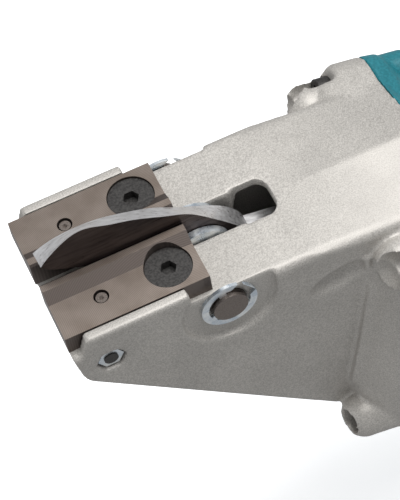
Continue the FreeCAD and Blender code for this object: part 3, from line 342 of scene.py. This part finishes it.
# Painted shade mask: faces whose normal tilts away from straight up take the dark colour.
painted_shade_mask = ground_steel.node_tree.nodes.new("ShaderNodeMapRange")
painted_shade_mask.inputs["From Min"].default_value = 0.97
painted_shade_mask.inputs["From Max"].default_value = 0.90
ground_steel.node_tree.links.new(ground_normal.outputs["Z"], painted_shade_mask.inputs["Value"])
# Painted shade: the same arcs in a much darker colour, for the tilted faces.
painted_shade_slopes = shades(ground_steel, arcs.outputs["Fac"],
                       (0.105, 0.085, 0.075), (0.13, 0.107, 0.095))
paint(ground_steel, ground_shader,
      blend_colours(ground_steel, ground_flats, painted_shade_slopes, painted_shade_mask.outputs["Result"]))
emboss(ground_steel, ground_shader, arcs.outputs["Fac"], 0.12, 0.00004)
dress(ground_steel, "side_blade_left", "side_blade_right")

# ------------------------------------------------------------------ screws
# Countersunk screws hold the side blades, cap screws the motor housing and the tie bolt
# the two flanks: all of them alloy steel in oiled black oxide.
black_oxide, oxide_shader, oxide_place = new_finish("black_oxide", 0.55, 0.34)
oxide_grain = grain(black_oxide, oxide_place, 1400, 3.0)
paint(black_oxide, oxide_shader,
      shades(black_oxide, oxide_grain, (0.030, 0.028, 0.027), (0.060, 0.057, 0.054)))
roughen(black_oxide, oxide_shader, oxide_grain, 0.34, 0.52)
dress(black_oxide, "side_blade_screws", "housing_screws", "tie_bolt", "handle_screws")

# ------------------------------------------------------------------ pins and rings
# The locating pins and the pivot pin are ground steel; the snap rings, washers and the
# tie nut are zinc plated, with the plating's bluish cast.
pin_steel, pin_shader, pin_place = new_finish("pin_steel", 0.85, 0.36)
pin_grain = grain(pin_steel, pin_place, 2600, 2.0)
paint(pin_steel, pin_shader, shades(pin_steel, pin_grain, (0.15, 0.125, 0.11), (0.22, 0.19, 0.17)))
roughen(pin_steel, pin_shader, pin_grain, 0.28, 0.5)
dress(pin_steel, "locating_pins", "pivot_pin")
zinc, zinc_shader, zinc_place = new_finish("zinc_plate", 0.85, 0.3)
zinc_cloud = grain(zinc, zinc_place, 300, 2.0)
paint(zinc, zinc_shader, shades(zinc, zinc_cloud, (0.50, 0.56, 0.62), (0.78, 0.80, 0.80)))
roughen(zinc, zinc_shader, zinc_cloud, 0.2, 0.42)
dress(zinc, "pivot_snap_rings", "thrust_washers", "tie_nut", "tie_washer")

# ------------------------------------------------------------------ centre blade
# Forged and ground tool steel.  The flanks carry a painted shade; the faces turned up, the
# back edge that lifts the waste strip among them, are ground bright with fine lines along it
# and carry a painted highlight as well.
blade_steel, blade_shader, blade_place = new_finish("centre_blade_steel", 0.85, 0.34)
blade_coordinates = blade_place.node
split_normal = blade_steel.node_tree.nodes.new("ShaderNodeSeparateXYZ")
blade_steel.node_tree.links.new(blade_coordinates.outputs["Normal"], split_normal.inputs["Vector"])
# Painted light mask: faces turned up take the bright colour, all others the dark one.
painted_light_by_facing = blade_steel.node_tree.nodes.new("ShaderNodeMapRange")
painted_light_by_facing.inputs["From Min"].default_value = 0.25
painted_light_by_facing.inputs["From Max"].default_value = 0.45
blade_steel.node_tree.links.new(split_normal.outputs["Z"], painted_light_by_facing.inputs["Value"])
blade_lines = grain(blade_steel, blade_place, 900, 3.0, (0.12, 1, 1))
# Painted shade on the flanks; the ground finish and a painted highlight on the back.
painted_shade_flank = shades(blade_steel, blade_lines, (0.055, 0.042, 0.040), (0.10, 0.080, 0.075))
ground_and_painted_lit_back = shades(blade_steel, blade_lines, (0.68, 0.665, 0.66), (0.86, 0.85, 0.85))
paint(blade_steel, blade_shader,
      blend_colours(blade_steel, painted_shade_flank, ground_and_painted_lit_back, painted_light_by_facing.outputs["Result"]))
roughen(blade_steel, blade_shader, blade_lines, 0.26, 0.42)
dress(blade_steel, "centre_blade")

# ------------------------------------------------------------------ bushes, gears, bearings
# Working parts inside the head and the housings: sintered bronze, case hardened steel and
# polished bearing rings, each with the marks of how it was made.
bronze, bronze_shader, bronze_place = new_finish("sintered_bronze", 0.9, 0.45)
paint(bronze, bronze_shader, shades(bronze, grain(bronze, bronze_place, 2200, 3.0),
                                    (0.35, 0.21, 0.09), (0.55, 0.36, 0.17)))
dress(bronze, "pivot_bush", "brush_holders")
hard_steel, hard_shader, hard_place = new_finish("hardened_steel", 0.9, 0.32)
paint(hard_steel, hard_shader, shades(hard_steel, grain(hard_steel, hard_place, 700, 4.0),
                                      (0.17, 0.17, 0.175), (0.36, 0.355, 0.35)))
dress(hard_steel, "crank_gear", "crankshaft", "armature_shaft")
ring_steel, ring_shader, ring_place = new_finish("bearing_steel", 1.0, 0.18)
paint(ring_steel, ring_shader, shades(ring_steel, grain(ring_steel, ring_place, 500, 3.0),
                                      (0.55, 0.56, 0.57), (0.78, 0.78, 0.78)))
dress(ring_steel, "crank_pin_bearing", "crank_front_bearing", "crank_rear_bearing",
      "armature_front_bearing", "armature_rear_bearing")
dress(cast_metal, "bearing_plate")

# ------------------------------------------------------------------ motor
# A series motor: stacked and varnished sheet, enamelled copper wire, a copper commutator
# and carbon brushes, with a moulded fan in front.
sheet_steel, sheet_shader, sheet_place = new_finish("stacked_sheet", 0.6, 0.5)
sheet_edges = grain(sheet_steel, sheet_place, 1500, 2.0, (1, 0.05, 0.05))
paint(sheet_steel, sheet_shader,
      shades(sheet_steel, sheet_edges, (0.04, 0.04, 0.045), (0.16, 0.16, 0.17)))
dress(sheet_steel, "armature_core", "field_core")
copper, copper_shader, copper_place = new_finish("enamelled_copper", 0.8, 0.35)
paint(copper, copper_shader, shades(copper, grain(copper, copper_place, 1200, 2.0, (0.2, 1, 1)),
                                    (0.30, 0.08, 0.03), (0.62, 0.24, 0.11)))
dress(copper, "armature_windings", "field_coils", "commutator")
black_plastic, plastic_shader, plastic_place = new_finish("black_moulding", 0.0, 0.5)
plastic_grain = grain(black_plastic, plastic_place, 1500, 3.0)
paint(black_plastic, plastic_shader,
      shades(black_plastic, plastic_grain, (0.010, 0.010, 0.011), (0.022, 0.022, 0.023)))
emboss(black_plastic, plastic_shader, plastic_grain, 0.3, 0.0001)
dress(black_plastic, "fan", "fan_baffle", "carbon_brushes", "brush_caps", "switch_body")

# ------------------------------------------------------------------ motor housing
# Glass filled nylon in teal, moulded in one: oval at the gear case, round behind it.  The
# mould is spark eroded, so the surface is finely pebbled and satin.
teal, teal_shader, teal_place = new_finish("teal_moulding", 0.0, 0.38)
teal_pebble = grain(teal, teal_place, 1100, 2.0)
teal_cloud = grain(teal, teal_place, 30, 2.0)
teal_tone = shades(teal, teal_pebble, (0.006, 0.135, 0.165), (0.012, 0.185, 0.225))
teal_clouds = shades(teal, teal_cloud, (0.92, 0.92, 0.92), (1.0, 1.0, 1.0))
paint(teal, teal_shader, blend_colours(teal, teal_tone, teal_clouds, 1.0, "MULTIPLY"))
roughen(teal, teal_shader, teal_pebble, 0.3, 0.48)
emboss(teal, teal_shader, teal_pebble, 0.35, 0.00012)
housing = copy_of("motor_housing", "teal_motor_housing")
soften(housing, 0.0008, 3, 0.3)
stand_for(housing, "motor_housing", "tool_body", teal)

# ------------------------------------------------------------------ handle
# Two teal shells screwed together from the right; their mould edges are rounded, so a
# fine line runs round the tool where they meet.
for side in ("left", "right"):
    shell = copy_of("handle_" + side, "teal_handle_" + side)
    soften(shell, 0.0008, 3, 0.3)
    stand_for(shell, "handle_" + side, "tool_body", teal)

# ------------------------------------------------------------------ trigger, button, inlet
# The trigger is black nylon with rounded edges, the lock-on button red, and the cord
# inlet is a rubber bush at the end of the grip.
trigger = copy_of("trigger", "black_trigger")
soften(trigger, 0.0005, 6, 0.5)
stand_for(trigger, "trigger", "trigger", black_plastic)
red_plastic, red_shader, red_place = new_finish("red_moulding", 0.0, 0.42)
paint(red_plastic, red_shader, shades(red_plastic, grain(red_plastic, red_place, 1200, 2.0),
                                      (0.32, 0.015, 0.012), (0.42, 0.025, 0.02)))
dress(red_plastic, "lock_button")
rubber, rubber_shader, rubber_place = new_finish("black_rubber", 0.0, 0.7)
paint(rubber, rubber_shader, shades(rubber, grain(rubber, rubber_place, 800, 3.0),
                                    (0.012, 0.012, 0.012), (0.028, 0.028, 0.028)))
dress(rubber, "cord_inlet")
